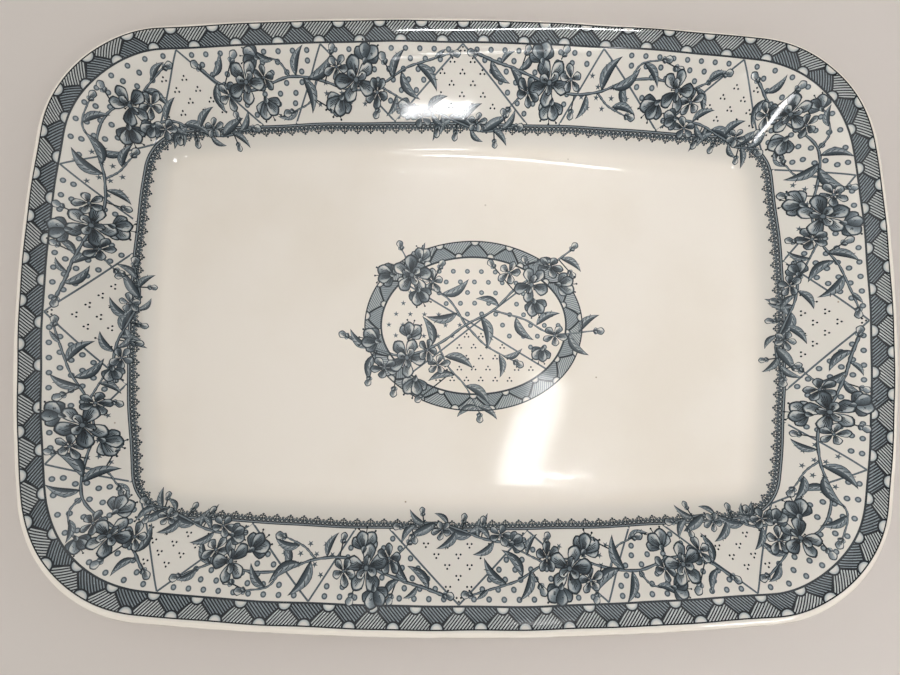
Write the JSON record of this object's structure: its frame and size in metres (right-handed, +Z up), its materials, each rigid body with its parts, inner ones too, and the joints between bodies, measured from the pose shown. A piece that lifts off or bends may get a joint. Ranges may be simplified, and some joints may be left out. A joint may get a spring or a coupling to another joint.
{
  "type": "rectangular platter",
  "caption": "Rectangular earthenware platter with bowed sides, rounded corners, sloping rim, sunken well and foot ring, printed in slate blue with bands, flower sprays and an oval medallion.",
  "frame": {"origin": "centre of the platter on the plane of the foot ring's seat", "axes": "+X along the length, +Y along the width, +Z up out of the well"},
  "size_m": [0.394, 0.278, 0.0365],
  "materials": {
    "glazed_body": "clear glossy lead glaze over cream earthenware",
    "foot_clay": "glaze worn thin on the seat",
    "band_ink": "slate-blue line print under glaze",
    "border_ink": "slate-blue line print under glaze",
    "edging_ink": "slate-blue line print under glaze",
    "medallion_ink": "slate-blue line print under glaze"
  },
  "bodies": {
    "root": {"dish_body": "glazed_body", "foot_ring": "foot_clay", "edge_band_print": "band_ink", "border_print": "border_ink", "well_edging_print": "edging_ink", "centre_medallion_print": "medallion_ink"}
  },
  "joints": []
}
